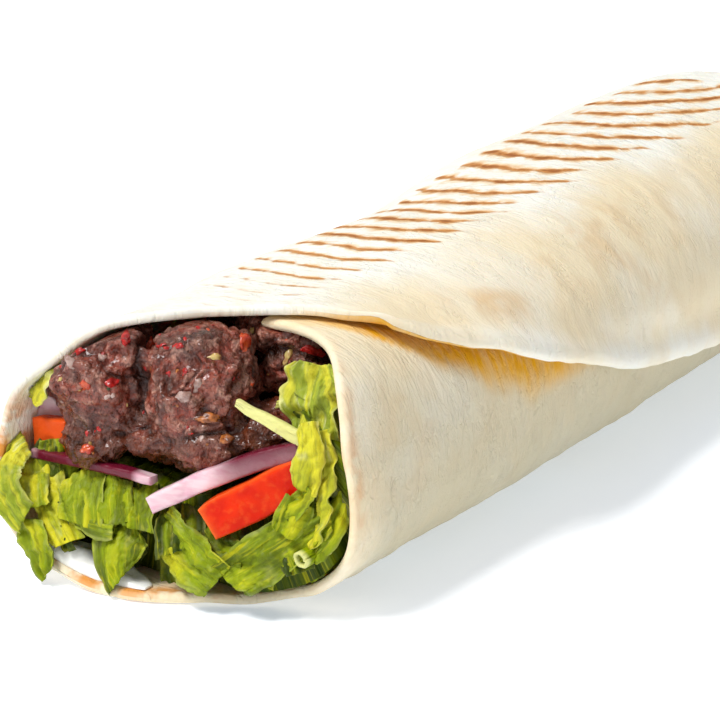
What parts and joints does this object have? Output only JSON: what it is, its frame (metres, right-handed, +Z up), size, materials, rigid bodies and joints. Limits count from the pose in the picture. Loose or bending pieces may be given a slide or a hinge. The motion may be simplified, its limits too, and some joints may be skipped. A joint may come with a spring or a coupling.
{
  "type": "kebab wrap",
  "caption": "Flatbread rolled into a flattened tube about minced-meat kebab, shredded lettuce, tomato, onion and white sauce, open at one end and tucked in at the other.",
  "frame": {"origin": "middle of the underside of the wrap's box, on the surface that it rests on", "axes": "+Y along the roll from its open mouth to its tucked end, +X to the right as seen from the mouth, +Z up"},
  "size_m": [0.0852, 0.2454, 0.0558],
  "materials": {
    "flatbread": "matt baked flatbread with thin brown griddle lines",
    "meat": "grilled minced meat, moist and a little glossy",
    "lettuce": "fresh leaf, satin",
    "tomato": "cut tomato, moist",
    "onion": "red onion, moist and slightly translucent",
    "sauce": "thick white yoghurt sauce, satin"
  },
  "bodies": {
    "root": {"flatbread": "flatbread", "kebab_front": "meat", "kebab_rear": "meat", "lettuce": "lettuce", "lettuce_sliver": "lettuce", "tomato_right": "tomato", "tomato_left": "tomato", "tomato_far_right": "tomato", "onion_right": "onion", "onion_left": "onion", "onion_far_left": "onion", "sauce": "sauce"}
  },
  "joints": []
}
